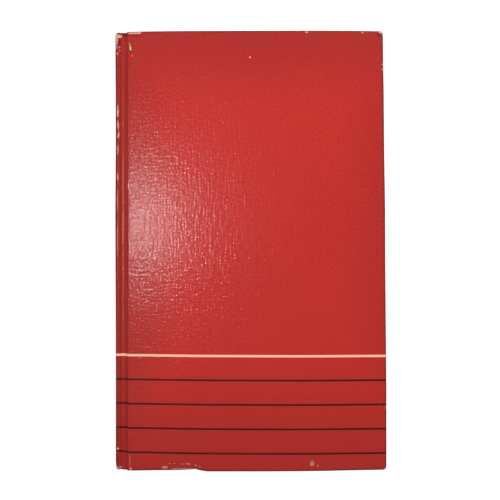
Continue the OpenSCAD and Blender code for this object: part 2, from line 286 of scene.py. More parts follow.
# Red coated paper, embossed between rollers to look like linen: satin, so a lamp leaves a broad
# shine that the grain breaks into short glints, with dull dips between the threads. Its pale core
# shows, matt and rough, where the coat is rubbed off.
def linen_paper():
    made, tree, shader = start_material("linen_embossed_coated_paper")
    lay, place, edge = (add(tree, "ShaderNodeAttribute", out=out, attribute_name=name)
                        for name, out in (("lay", "Vector"), ("place", "Vector"), ("edge", "Fac")))
    x, y = add(tree, SPLIT, [lay], slice(2))
    sway_x, sway_y, weft, warp, pits, dips = patterns(
        tree, lay, ((4.0, 14.0, 1.0), 0.0, 0.5), ((14.0, 4.0, 2.0), 0.0, 0.5),
        ((3.2, 1.1, 1.0), 0.0, 0.5), ((0.9, 6.0, 3.0), 0.0, 0.5), (0.7, 0.0, 0.5), (0.8, 0.0, 0.5))
    ragged, rubs, slow, pale = patterns(
        tree, place, (0.9, 3.0, 0.65), ((1.2, 3.5, 2.0), 3.0, 0.6), (38.0, 2.0, 0.5),
        (0.6, 2.0, 0.5))

    # The embossed weave: two sets of threads that sway, some of them thicker
    waves = []
    for across, sway, apart in ((x, sway_x, THREAD_X), (y, sway_y, THREAD_Y)):
        sway = add(tree, MATH, [add(tree, MATH, [sway, 0.5], **MINUS), THREAD_SWAY * MM], **TIMES)
        waves.append(ripples(tree, add(tree, MATH, [across, sway], **PLUS), apart))
    weave = add(tree, MATH, waves, **TIMES)
    grain = combined(tree, [add(tree, MATH, [field, part], **TIMES) for field, part in (
        (weave, WEAVE), (pits, PITS), (weft, WEFT), (warp, WARP))], **PLUS)
    dips = add(tree, MATH, [add(tree, MATH, [weave, WEAVE_IN_DIPS], **TIMES), dips], **PLUS)
    low = add(tree, RANGE, [dips, 0.58, 0.44], **SOFT)

    # Worn places with ragged rims, and small rubs along the folds
    ragged = add(tree, MATH, [add(tree, MATH, [ragged, 0.5], **MINUS), RAGGED], **TIMES)
    rubs = combined(tree, [add(tree, RANGE, [rubs, 0.64, 0.74], **SOFT),
                           add(tree, RANGE, [edge, 0.5, 0.95], **SOFT), RUBBED], **TIMES)
    bare = add(tree, MATH, [spots(tree, place, ragged, WORN), rubs], **MOST)

    # Colour: the red varies slowly, has painted shade in the dips of the grain, is darker towards
    # the rims and the spine, has dirt and painted shade along the folds and in its dark places, and
    # the stripes and the bare core lie over it
    # The bare core is mottled, and darker along the folds with dirt and painted shade
    core = layered(tree, "#f0beae", (add(tree, RANGE, [pale, 0.35, 0.65], **SOFT), "#bb8d78"),
                   (add(tree, RANGE, [edge, 0.5, 1.0, 0.0, 0.6], **SOFT), "#6d5c4a"))
    black, cream = stripes(tree, x, y)
    colour = layered(
        tree, "#bf2923",
        (add(tree, RANGE, [slow, 0.35, 0.65], **SOFT), "#c22b24"),
        # Painted shade: the red is darker in the dips of the grain
        (add(tree, MATH, [low, 0.5], **TIMES), "#9a1d19"),
        # Darker towards the rims, the spine and the tail
        (add(tree, MATH, [rim_darkening(tree, place), 0.42], **TIMES), "#7a201b"),
        # Dirt with painted shade along the folds and down the sides, and painted shade down the
        # joint's groove
        (add(tree, MATH, [edge, 0.8], **TIMES), "#43170f"),
        # Dark places: grime, with painted shadow in the groove's head end and painted shade along
        # the spine's edge
        (spots(tree, place, ragged, GRIME_AND_SHADE), "#5a1512"),
        (black, "#3c0200"), (cream, "#fbb99b"), (bare, core))

    # Finish: the satin coat is dull in the dips and along the folds, and matt where it is bare. The
    # wear flattens the grain through the bump's strength.
    rough = combined(tree, [add(tree, RANGE, [slow, 0.3, 0.7, 0.17, 0.19], **SOFT)] + [
        add(tree, MATH, [field, part], **TIMES) for field, part in (
            (low, DIP_ROUGH), (edge, EDGE_ROUGH), (bare, BARE_ROUGH))], **PLUS)
    strength = add(tree, MATH, [1.0, add(tree, MATH, [bare, BARE_FLAT], **TIMES)], **MINUS)
    feed(shader, {"Specular IOR Level": 0.2})
    return finished(made, shader, colour, rough, GRAIN_DEEP, grain, strength)


# Greyboard: waste paper, pulped and pressed, so matt and warm grey with flecks and short fibres. A
# fibre is 0.03 mm wide, too fine to show, so it is drawn 0.5 mm wide here and in the papers.
def greyboard():
    made, tree, shader = start_material("greyboard")
    place = add(tree, "ShaderNodeTexCoord", out="Object")
    fleck, mottle, fibre = patterns(
        tree, place, (0.8, 3.0, 0.5), (6.0, 3.0, 0.5), ((1.6, 0.5, 0.5), 3.0, 0.6))
    fleck = add(tree, MATH, [add(tree, RANGE, [fleck, 0.62, 0.70], **SOFT), 0.5], **TIMES)
    colour = layered(tree, "#a39a8b", (mottle, "#b3aa9a"), (fleck, "#6f675c"))
    return finished(made, shader, colour, 0.9, 0.04, fibre)


# Cream wove endpaper: uncoated and lightly rolled, so matt and faintly mottled. Age has toned it
# brown towards its rims.
def endpaper(name, bends):
    """bends: its pattern keeps to the places stored in the piece."""
    made, tree, shader = start_material(name)
    if bends:
        place = add(tree, "ShaderNodeAttribute", out="Vector", attribute_name="place")
    else:
        place = add(tree, "ShaderNodeTexCoord", out="Object")
    toning, mottle, fibre = patterns(
        tree, place, (14.0, 3.0, 0.5), (1.2, 4.0, 0.5), ((0.5, 0.9, 0.6), 3.0, 0.6))
    x, y = add(tree, SPLIT, [place], slice(2))
    far_y = add(tree, MATH, [y], operation="ABSOLUTE")
    toned = add(tree, MATH, [add(tree, RANGE, [far_y, 78 * MM, 96 * MM], **SOFT),
                             add(tree, RANGE, [x, 36 * MM, 58 * MM], **SOFT)], **MOST)
    toned = combined(tree, [toned, add(tree, RANGE, [toning, 0.2, 0.8], **SOFT), 0.6], **TIMES)
    colour = layered(tree, "#ece2cb", (mottle, "#e3d8bf"), (toned, "#cdb58c"))
    return finished(made, shader, colour, 0.85, 0.02, fibre)


# Book paper, cut in a pack by a guillotine: its edges are a matt cream block of fine lines, browner
# where dust and age have settled. A leaf is 0.12 mm thick, too fine to show, so a line is 0.16 mm.
def book_paper():
    made, tree, shader = start_material("aged_book_paper")
    place = add(tree, "ShaderNodeTexCoord", out="Object")
    lines, stain, ridges = patterns(
        tree, place, ((30.0, 30.0, 0.16), 2.0, 0.5), (16.0, 3.0, 0.5), ((3.0, 3.0, 0.2), 2.0, 0.5))
    stain = add(tree, MATH, [add(tree, RANGE, [stain, 0.5, 0.75], **SOFT), 0.4], **TIMES)
    lines = add(tree, RANGE, [lines, 0.3, 0.7], **SOFT)
    colour = layered(tree, "#dccdab", (lines, "#eee3ca"), (stain, "#c3ab7f"))
    return finished(made, shader, colour, 0.88, 0.02, ridges)


# Kraft lining paper: unbleached and machine-made, so brown and matt, with fibres along it.
def kraft_paper():
    made, tree, shader = start_material("kraft_lining_paper")
    place = add(tree, "ShaderNodeTexCoord", out="Object")
    streaks, fibre = patterns(tree, place, ((1.0, 6.0, 0.5), 3.0, 0.5), ((0.6, 3.0, 0.4), 2.0, 0.5))
    return finished(made, shader, layered(tree, "#a27b4b", (streaks, "#bb9462")), 0.85, 0.02, fibre)


# Mull: open cotton gauze, woven with threads about 1 mm apart and starched, so off-white and matt.
def mull():
    made, tree, shader = start_material("starched_cotton_mull")
    place = add(tree, "ShaderNodeTexCoord", out="Object")
    x, y, z = add(tree, SPLIT, [place], slice(3))
    waves = [ripples(tree, along, 1.0) for along in (add(tree, MATH, [x, z], **PLUS), y)]
    weave = add(tree, MATH, waves, **MOST)
    threads = add(tree, RANGE, [weave, 0.1, 0.7], **SOFT)
    return finished(made, shader, layered(tree, "#bfa887", (threads, "#ece6d6")), 0.9, 0.06, weave)


# Cotton headband thread: spun and dyed, matt with a faint sheen of loose fibres.
def thread(name, dark, light):
    made, tree, shader = start_material(name)
    place = add(tree, "ShaderNodeTexCoord", out="Object")
    streaks, fibre = patterns(
        tree, place, ((0.12, 0.4, 0.12), 2.0, 0.5), ((0.1, 0.3, 0.1), 2.0, 0.5))
    feed(shader, {"Sheen Weight": 0.2})
    return finished(made, shader, layered(tree, dark, (streaks, light)), 0.65, 0.03, fibre)


LINEN = linen_paper()
BOARD = greyboard()
PASTEDOWN = endpaper("cream_wove_endpaper", True)
FLYLEAF = endpaper("cream_wove_flyleaf", False)
LEAF = book_paper()
KRAFT = kraft_paper()
MULL = mull()
RED_THREAD = thread("red_cotton_thread", "#8f2a25", "#c04a42")
CREAM_THREAD = thread("cream_cotton_thread", "#cdbf9f", "#efe6cf")


# The used book's shape

# How far in the tail edge is drawn, in millimetres, at distances from the middle of the cover, and
# how far in the head edge is at its corners
TAIL_X = (-60.0, -44.5, -31.0, -20.0, 5.0, 22.0, 35.0, 44.5, 60.0)
TAIL_IN = (0.62, 0.52, 0.22, 0.08, 0.0, 0.03, 0.18, 0.38, 0.6)
HEAD_IN = 0.42
# How far in the fore-edge and the spine's ridges are drawn, at distances along the book from its
# middle, and how far the ridges' part of that reaches in depth
SIDE_Y = (-97.0, -88.0, -62.0, -35.0, -9.0, 18.0, 45.0, 71.0, 84.0, 97.0)
FORE_IN = (0.28, 0.2, 0.05, 0.13, 0.22, 0.14, 0.38, 0.45, 0.6, 0.66)
SPINE_IN = (0.28, 0.26, 0.28, 0.25, 0.13, 0.05, 0.22, 0.2, 0.08, 0.0)
RIDGE_REACH = 1.5
# The radius of the spine's corners in plan at the head and the tail, and how far from the book's
# middle they begin to show and over what length
HEAD_CAP, TAIL_CAP = 1.6, 3.8
CAPS_FROM, CAPS_RUN = 86, 8
# The crushed place of the tail edge: how deep it is at distances from the middle of the cover, how
# far in from the edge it reaches, and how far in and by what share of its depth it falls
DENT_X = (-50.0, -44.5, -31.0, -26.7, -24.4, -22.2, -19.5)
DENT_DEEP = (0.0, 0.12, 0.5, 0.76, 0.95, 0.45, 0.0)
DENT_RUN, DENT_FALL_RUN, DENT_FALL = 7, 5, 0.22
# How far the rims of a cover stand lower than its middle
RIM_FALL = 0.25


def smooth(t):
    """A soft step from 0 to 1."""
    t = np.clip(t, 0, 1)
    return t * t * (3 - 2 * t)


def cap(u, radius):
    """How far a corner of this radius falls back at a distance from the spine."""
    return radius - np.sqrt(np.maximum(radius ** 2 - np.clip(radius - u, 0, radius) ** 2, 0))


def settled(u, y, depth):
    """Where a point of a cover lies on the used book: its edges and corners draw in a little, the
    tail edge is crushed near the spine, and the rims stand slightly lower than the middle."""
    u, y, depth = np.broadcast_arrays(*(np.asarray(v, float) for v in (u, y, depth)))
    x = u - HALF_W
    across, along = x / HALF_W, y / HALF_H
    drawn = np.where(y > 0, HEAD_IN * across ** 4, np.interp(x, TAIL_X, TAIL_IN))
    moved_y = y - drawn * along
    ends = smooth((np.abs(y) - CAPS_FROM) / CAPS_RUN)
    corner = np.where(y > 0, cap(u, CAP_R) - cap(u, HEAD_CAP), cap(u, TAIL_CAP) - cap(u, CAP_R))
    dent = np.interp(x, DENT_X, DENT_DEEP)
    moved_y = moved_y + ends * corner + dent * smooth((-y - HALF_H + DENT_RUN) / DENT_RUN)
    ridge = np.exp(-((depth - RIDGE_D - RIDGE_R) / RIDGE_REACH) ** 2) * (1 - smooth(u / CREST_U))
    fore = smooth((across + 1) / 2)
    moved_u = u - np.interp(y, SIDE_Y, FORE_IN) * fore + np.interp(y, SIDE_Y, SPINE_IN) * ridge
    fall = DENT_FALL * smooth((-y - HALF_H + DENT_FALL_RUN) / DENT_FALL_RUN) * dent
    outer = np.clip(np.maximum(np.abs(across), np.abs(along)), 0, 1)
    fall = fall + RIM_FALL * outer ** 6 * (u > WALL_U)
    middle = COVER_D / 2
    return moved_u, moved_y, depth + fall * np.clip((middle - depth) / middle, -0.2, 1)


# Mesh helpers

def arc(centre, radius, first, last, steps):
    """Points of an arc from one angle in degrees to another."""
    angles = np.radians(np.linspace(first, last, steps + 1))
    return [(centre[0] + radius * math.cos(a), centre[1] + radius * math.sin(a)) for a in angles]


def run_along(line):
    """Distances along a line of points from its first one."""
    return np.concatenate([[0], np.cumsum(np.hypot(*np.diff(line, axis=0).T))])


def placed(name, data):
    """A new object in the scene."""
    made = bpy.data.objects.new(name, data)
    bpy.context.scene.collection.objects.link(made)
    return made


def add_mesh(name, points, faces, material, fields=None):
    """A mesh object at the origin. Points are in metres; fields are values for each point."""
    mesh = bpy.data.meshes.new(name)
    mesh.from_pydata([tuple(p) for p in points], [], faces)
    for field, values in (fields or {}).items():
        values = np.asarray(values, np.float32)
        kind, key = ("FLOAT", "value") if values.ndim == 1 else ("FLOAT_VECTOR", "vector")
        mesh.attributes.new(field, kind, "POINT").data.foreach_set(key, values.ravel())
    mesh.materials.append(material)
    return placed(name, mesh)


def cleaned(made, outward):
    """Merges doubles and drops faces with no area. Turns all faces over if the outermost one looks
    inward; outward is the way that it has to look."""
    work = bmesh.new()
    work.from_mesh(made.data)
    bmesh.ops.remove_doubles(work, verts=work.verts, dist=0.003 * MM)
    bmesh.ops.dissolve_degenerate(work, edges=work.edges, dist=0.002 * MM)
    work.normal_update()
    outer = max((f for f in work.faces if abs(f.normal.dot(outward)) > 0.9),
                key=lambda f: f.calc_center_median().dot(outward))
    if outer.normal.dot(outward) < 0:
        bmesh.ops.reverse_faces(work, faces=work.faces)
    work.to_mesh(made.data)
    work.free()


def applied(made, sharp=40):
    """Turns the object's modifiers into plain mesh, and shades it smooth up to an angle."""
    graph = bpy.context.evaluated_depsgraph_get()
    mesh = bpy.data.meshes.new_from_object(made.evaluated_get(graph), preserve_all_data_layers=True,
                                           depsgraph=graph)
    made.modifiers.clear()
    for i in reversed(range(len(mesh.materials))):
        if mesh.materials[i] is None:
            mesh.materials.pop(index=i)
    old, made.data = made.data, mesh
    bpy.data.meshes.remove(old)
    mesh.name = made.name
    mesh.polygons.foreach_set("use_smooth", [True] * len(mesh.polygons))
    mesh.set_sharp_from_angle(angle=math.radians(sharp))


def thickened(made, thickness):
    """Gives a sheet its thickness, on the side that its faces look away from."""
    solid = made.modifiers.new("thickness", "SOLIDIFY")
    solid.thickness = thickness * MM
    solid.offset = -1
    solid.use_even_offset = False
    applied(made)


def to_space(u, y, depth, front):
    """Metres in the book's own frame from a place on a cover."""
    return np.stack([(u - HALF_W) * MM, y * MM, (CASE_T - depth if front else depth) * MM], -1)


def outward_of(front):
    """The way that a cover's outer face looks."""
    return (0, 0, 1) if front else (0, 0, -1)


# The covering: a sheet that lies over boards and spine and is folded in round their edges

# A quarter bend is longer than its radius by the first share of it, and shorter than twice the
# radius by the second
BEND_OVER, BEND_UNDER = 0.57, 0.43
# How near to a fold the covering is, from 0 to 1, which its wear, its finish and its darkening
# follow;
# the darkening is dirt with painted shade, and over the joint's groove painted shade alone. It is
# given over the joint and on the crest, at distances from the spine, and over a ridge or, below 0,
# down the spine's wall
JOINT_U = (1.7, 2.4, 3.1, 3.9, 4.4, 5.7, 6.3)
JOINT_EDGE = (0.2, 0.26, 0.16, 0.16, 0.16, 0.16, 0.0)
CREST_EDGE = 0.4
RIDGE_U = (-5, -2, 0.6, 1.0, 1.6)
RIDGE_EDGE = (0.0, 1.0, 0.9, 0.35, 0.4)


def end_y(u):
    """Half the book's length at a distance from the spine, with the corners rounded in plan."""
    return HALF_H - cap(np.asarray(u, float), CAP_R)


def strip_depth(u):
    """Depth of the joint strip's outer face."""
    ease = lambda t: (1 - np.cos(np.pi * np.clip(t, 0, 1))) / 2
    down = RIDGE_D + (GROOVE_D - RIDGE_D) * ease((u - CREST_U) / (GROOVE_START - CREST_U))
    up = (GROOVE_D - FOOT_D) * ease((u - GROOVE_END) / (FOOT_U - GROOVE_END))
    return down - up


def rows():
    """Shares of the half-length at which the sheet has rows, closer together near head and tail."""
    half = np.concatenate([np.arange(0, 84, 3.0), np.arange(84, FLAT_HALF, 0.9), [FLAT_HALF]])
    return np.concatenate([-half[:0:-1], half]) / FLAT_HALF


def face_lines():
    """Distances from the spine at which a cover's face has lines, closer together over the crushed
    place and near the fore-edge."""
    start, end = WALL_U + FOLD_R, CASE_W - BOARD_R
    fine = np.arange(start + 0.8, 44, 1.1)
    wide = np.arange(46, end - 6, 2.6)
    return np.concatenate([[start], fine, wide, np.arange(end - 5, end, 0.8), [end]])


class Sheet:
    """Points and faces of a folded sheet, with each point's place on the flat sheet and how near it
    is to a fold."""

    def __init__(self):
        self.points, self.lay, self.edge, self.faces = [], [], [], []

    def lattice(self, points, lay, edge, flip=False):
        """Adds a grid of points, given as arrays of rows."""
        first = len(self.points)
        high, wide = points.shape[:2]
        self.points += list(points.reshape(-1, 3))
        self.lay += list(lay.reshape(-1, 3))
        self.edge += list(edge.reshape(-1))
        for i in range(high - 1):
            for j in range(wide - 1):
                a = first + i * wide + j
                face = (a, a + 1, a + wide + 1, a + wide)
                self.faces.append(face[::-1] if flip else face)

    def build(self, name, space, outward):
        """Makes the covering's object from the points' settled places, with its thickness."""
        made = add_mesh(name, space, self.faces, LINEN,
                        {"lay": np.array(self.lay) * MM, "edge": self.edge, "place": space})
        cleaned(made, outward)
        thickened(made, COVER_T)
        return made


def rim(columns, sign):
    """The path of a sheet's head or tail edge: one entry for each column."""
    return [dict(c, sign=sign, nu=0.0, ny=-float(sign), y=None) for c in columns]


def rim_steps():
    """The steps of a rim's rings: in over the face's edge, round the fold, down the side, round the
    inner fold and under, as far as the sheet is turned in."""
    bend = np.radians([0, 15, 30, 45, 60, 75, 90])
    under = SQUARE_W + COVER_T
    return ([("flat", None)] + [("outer", a) for a in bend]
            + [("side", share) for share in (0.06, 0.16, 0.3, 0.5, 0.7, 0.85, 0.95)]
            + [("inner", a) for a in bend[::-1]] + [("under", under), ("under", TURN_W + COVER_T)])


def ring_place(kind, value, r, drop):
    """How far down and how far back from the edge a ring lies, how far along the sheet, and how
    near to a fold, for a fold of radius r and a side as high as drop."""
    if kind == "flat":
        return 0.0, BOARD_R, -BOARD_R, 0.0
    if kind == "outer":
        return (r * (1 - math.cos(value)), r * (1 - math.sin(value)), -r + r * value,
                min(1.0, 0.35 + math.sin(value)))
    if kind == "side":
        down = (drop - 2 * r) * value
        return r + down, 0.0, r * BEND_OVER + down, 1.0
    if kind == "inner":
        run = r * BEND_OVER + drop - 2 * r + r * (math.pi / 2 - value)
        return drop - r * (1 - math.cos(value)), r * (1 - math.sin(value)), run, math.sin(value)
    return drop, value, drop - 2 * r * BEND_UNDER + value, 0.0


def rim_rings(path):
    """Rings of points that follow the path, one for each step of the rim."""
    rings = []
    for kind, value in rim_steps():
        points, lays, edges = [], [], []
        for p in path:
            s, back, run, edge = ring_place(kind, value, min(p["r"], p["drop"] * 0.49), p["drop"])
            u, d = p["u"] + p["du"] * s, p["d"] + p["dd"] * s
            if p["y"] is None:
                y = p["sign"] * (end_y(u) - back)
                u = min(u, CASE_W - back) if back > BOARD_R else u
                lay = (p["lay"], p["sign"] * (end_y(p["u"]) + run), 0.0)
            else:
                if back <= BOARD_R:
                    u, y = u + p["nu"] * back, p["y"] + p["ny"] * back
                else:
                    u, y = CASE_W - back, max(min(p["y"], HALF_H - back), back - HALF_H)
                lay = (p["u"] - p["nu"] * run, p["y"] - p["ny"] * run, 0.0)
            points.append((u, y, d))
            lays.append(lay)
            edges.append(edge)
        rings.append((points, lays, edges))
    return [np.array([ring[i] for ring in rings]) for i in range(3)]


def inner_depth(u):
    """Depth of a cover's inner side at its head and tail, where the covering is turned in."""
    strip = strip_depth(u) + 2 * COVER_T
    return strip + (COVER_D - strip) * smooth((u - FOOT_U) / (BOARD_U - FOOT_U))


def cover_columns():
    """Columns of a cover's sheet, from the seam on the crest over the joint to the fore-edge."""
    strip = [(u, float(strip_depth(u))) for u in np.linspace(CREST_U, FOOT_U, 34)]
    foot = arc((FOOT_U, FOOT_D - FOOT_R), FOOT_R, 90, 0, 5)[1:]
    wall = [(WALL_U, 1.2), (WALL_U, 0.85)]
    fold = arc((WALL_U + FOLD_R, FOLD_R), FOLD_R, 180, 270, 7)
    face = [(u, 0.0) for u in face_lines()[1:]]
    line = np.array(strip + foot + wall + fold + face)
    run = run_along(line)
    start = len(strip + foot + wall + fold) - 1
    run += line[start, 0] - run[start]
    slope = np.gradient(line, axis=0)
    flat = np.abs(slope[:, 0]) / np.hypot(*slope.T)
    return [dict(u=u, d=d, lay=s, du=0.0, dd=1.0, drop=float(inner_depth(u)) - d, r=FOLD_R * f)
            for (u, d), s, f in zip(line, run, flat)]


def cover_sheet(name, front):
    """The covering of a cover, from the seam on the spine's crest to the fore-edge."""
    columns = cover_columns()
    shares = rows()
    sheet = Sheet()
    u, depth, lay = (np.array([c[key] for c in columns]) for key in ("u", "d", "lay"))
    y = (end_y(u) - BOARD_R)[:, None] * shares[None, :]
    u_grid, depth, lay = (values[:, None] + 0 * y for values in (u, depth, lay))
    crest = CREST_EDGE * (u < CREST_U + 0.1)
    edge = np.maximum(np.interp(u, JOINT_U, JOINT_EDGE), crest)[:, None] + 0 * y
    sheet.lattice(np.stack([u_grid, y, depth], -1), np.stack([lay, y, 0 * y], -1), edge)

    # The rim runs along the head, round the corner, down the fore-edge and back along the tail
    path = rim(columns, 1)
    centre_u, centre_y = CASE_W - BOARD_R, HALF_H - BOARD_R
    side = dict(d=0.0, lay=0.0, sign=0, du=0.0, dd=1.0, drop=COVER_D, r=FOLD_R)

    def corner(sign):
        """The quarter turn from the head to the fore-edge, or from the fore-edge to the tail."""
        for angle in np.radians(np.linspace(90, 0, 9) if sign > 0 else np.linspace(0, -90, 9)):
            c, s = math.cos(angle), math.sin(angle)
            path.append(dict(side, u=centre_u + BOARD_R * c, y=sign * centre_y + BOARD_R * s,
                             nu=-c, ny=-s))

    corner(1)
    for share in shares[::-1][1:-1]:
        path.append(dict(side, u=CASE_W, y=centre_y * share, nu=-1.0, ny=0.0))
    corner(-1)
    path += rim(columns, -1)[::-1]
    sheet.lattice(*rim_rings(path), flip=True)
    return sheet.build(name, to_space(*settled(*np.array(sheet.points).T), front), outward_of(front))


def spine_columns():
    """Columns of the spine's sheet, and the distances along its line."""
    top = [(u, RIDGE_D) for u in np.linspace(CREST_U, RIDGE_R, 6)]
    bend = [(RIDGE_R - RIDGE_R * math.sin(a), RIDGE_D + RIDGE_R - RIDGE_R * math.cos(a))
            for a in np.radians([15, 30, 45, 60, 75, 90])]
    wall = [(0.0, d) for d in np.linspace(RIDGE_D + RIDGE_R, CASE_T / 2, 12)[1:]]
    upper = np.array(top + bend + wall)
    lower = np.stack([upper[:, 0], CASE_T - upper[:, 1]], -1)[::-1][1:]
    line = np.concatenate([upper, lower])
    run = run_along(line)
    # The turn-in's inner side: it leaves the crest over a short run, and stands a little deeper
    # along the wall
    crest_run, wall_inset = 0.4, 0.3
    columns = []
    for (u, d), s in zip(line, run):
        flat = 1.0 if u > RIDGE_R - 1e-6 else math.sqrt(max(0, 1 - ((RIDGE_R - u) / RIDGE_R) ** 2))
        inside_u = CREST_U + (INNER_U - CREST_U) * float(smooth((CREST_U - u) / crest_run))
        least = RIDGE_D + 2 * COVER_T + wall_inset * (1 - flat)
        inside_d = min(max(d, least), CASE_T - least)
        away = np.array([inside_u - u, inside_d - d])
        drop = float(np.hypot(*away))
        columns.append(dict(u=u, d=d, lay=s, du=away[0] / drop, dd=away[1] / drop, drop=drop,
                            r=FOLD_R * flat))
    return columns, run


def spine_sheet():
    """The covering of the spine, from the seam at one cover to the seam at the other."""
    columns, run = spine_columns()
    sheet = Sheet()
    u, d, s = (np.array([c[key] for c in columns]) for key in ("u", "d", "lay"))
    y = (end_y(u) - BOARD_R)[:, None] * rows()[None, :]
    edge = np.interp(np.where(u > 1e-6, u, -np.minimum(d, CASE_T - d)), RIDGE_U, RIDGE_EDGE)
    u, d, s, edge = (values[:, None] + 0 * y for values in (u, d, s - s.mean() - HALF_W, edge))
    sheet.lattice(np.stack([u, y, d], -1), np.stack([s, y, 0 * y], -1), edge)
    for sign in (1, -1):
        points, lays, edges = rim_rings(rim(columns, sign))
        lays[..., 0] += -HALF_W - run.mean()
        sheet.lattice(points, lays, edges, flip=sign > 0)
    u, y, depth = np.array(sheet.points).T
    moved_u, moved_y, _ = settled(u, y, np.minimum(depth, CASE_T - depth))
    return sheet.build("spine_linen", to_space(moved_u, moved_y, depth, True), (-1, 0, 0))


# Boards, endpapers, leaves and headbands

def board_slab(name, front):
    """A cover's board, settled as its covering is, with its edges slightly rounded."""
    lines = np.concatenate([[BOARD_U], face_lines()[2:-1], [BOARD_END]])
    shares = rows() * BOARD_HALF
    u, y = np.meshgrid(lines, shares, indexing="ij")
    faces, points = [], []
    wide = len(shares)
    for depth in (COVER_T, FACE_D):
        first = len(points)
        points += list(np.stack(settled(u, y, depth), -1).reshape(-1, 3))
        for i in range(len(lines) - 1):
            for j in range(wide - 1):
                a = first + i * wide + j
                face = (a, a + wide, a + wide + 1, a + 1)
                faces.append(face if depth == COVER_T else face[::-1])
    last, size = len(lines) - 1, len(lines) * wide
    loop = [i * wide for i in range(last)] + [last * wide + j for j in range(wide - 1)]
    loop += [i * wide + wide - 1 for i in range(last, 0, -1)] + [j for j in range(wide - 1, 0, -1)]
    for a, b in zip(loop, loop[1:] + loop[:1]):
        faces.append((a, a + size, b + size, b))
    made = add_mesh(name, to_space(*np.array(points).T, front), faces, BOARD)
    cleaned(made, outward_of(front))
    bevel = made.modifiers.new("softened edges", "BEVEL")
    bevel.width = 0.18 * MM
    bevel.segments = 2
    bevel.limit_method = "ANGLE"
    bevel.angle_limit = math.radians(50)
    applied(made)
    return made


def endpaper_sheet(name, front):
    """The endpaper's half that is pasted to a board and crosses the joint to the leaves. It shows
    the turned-in covering and the gauze flap under it as soft ridges."""
    end_u, end_row = BOARD_END - SQUARE_W, BOARD_HALF - SQUARE_W
    turn_u, turn_y = BOARD_END - TURN_W, BOARD_HALF - TURN_W
    flap_u, flap_y = BOARD_U + FLAP_W, BOARD_HALF - TURN_W - FLAP_GAP
    # Its depth over the joint, where and over what length it rises to the board, how wide a soft
    # ridge is, and how far from the leaves it follows the settled cover in full
    crossing, rise_from, rise_run, ridge_run, held_run = 2.94, 4.9, 1.6, 0.9, 2.5
    steps = lambda at: at + np.array([-0.7, -0.3, 0.0, 0.3, 0.7, 1.2])
    lines = np.unique(np.round(np.concatenate([
        np.linspace(LEAF_U, BOARD_U + 1, 22), np.arange(9, end_u, 3.0), steps(flap_u), steps(turn_u),
        [end_u]]), 3))
    half = np.unique(np.round(np.concatenate([
        np.arange(0, end_row, 3.0), steps(flap_y), steps(turn_y), [end_row]]), 3))
    u, y = np.meshgrid(lines, np.concatenate([-half[:0:-1], half]), indexing="ij")
    turned = np.maximum(smooth((u - turn_u + 0.5) / ridge_run),
                        smooth((np.abs(y) - turn_y + 0.5) / ridge_run))
    flap = smooth((flap_u + 0.5 - u) / ridge_run) * smooth((flap_y + 0.5 - np.abs(y)) / ridge_run)
    pasted = FACE_D + np.maximum(COVER_T * turned, GAUZE_T * flap)
    depth = crossing + (pasted - crossing) * smooth((u - rise_from) / rise_run) + PAPER_T
    moved_u, moved_y, moved_d = settled(u, y, depth)
    held = smooth((u - LEAF_U) / held_run)
    moved_u, moved_y = u + (moved_u - u) * held, y + (moved_y - y) * held
    sheet = Sheet()
    sheet.lattice(np.stack([moved_u, moved_y, moved_d], -1), np.stack([u, y, 0 * y], -1), 0 * y)
    space = to_space(*np.array(sheet.points).T, front)
    made = add_mesh(name, space, sheet.faces, PASTEDOWN, {"place": space})
    cleaned(made, outward_of(not front))
    thickened(made, PAPER_T)
    return made


def start_tree(name, sizes):
    """A Geometry Nodes tree with named size inputs, its inputs and its output node."""
    tree = bpy.data.node_groups.new(name, "GeometryNodeTree")
    tree.interface.new_socket(name="Geometry", in_out="OUTPUT", socket_type="NodeSocketGeometry")
    for label, value in sizes.items():
        kind = "NodeSocketInt" if isinstance(value, int) else "NodeSocketFloat"
        tree.interface.new_socket(name=label, in_out="INPUT", socket_type=kind).default_value = value
    return tree, tree.nodes.new("NodeGroupInput").outputs, tree.nodes.new("NodeGroupOutput")


def from_tree(name, tree, sizes, sharp):
    """An object made by a Geometry Nodes tree, turned into plain mesh."""
    made = placed(name, bpy.data.meshes.new(name))
    modifier = made.modifiers.new(name, "NODES")
    modifier.node_group = tree
    for item in tree.interface.items_tree:
        if item.in_out == "INPUT":
            modifier[item.identifier] = sizes[item.name]
    applied(made, sharp)
    return made


def off_back(tree, radius, height):
    """How far the rounded back has fallen away at a height from its middle."""
    radius_2, height_2 = (add(tree, MATH, [value, value], **TIMES) for value in (radius, height))
    reach = add(tree, MATH, [add(tree, MATH, [radius_2, height_2], **MINUS)], operation="SQRT")
    return add(tree, MATH, [radius, reach], **MINUS)


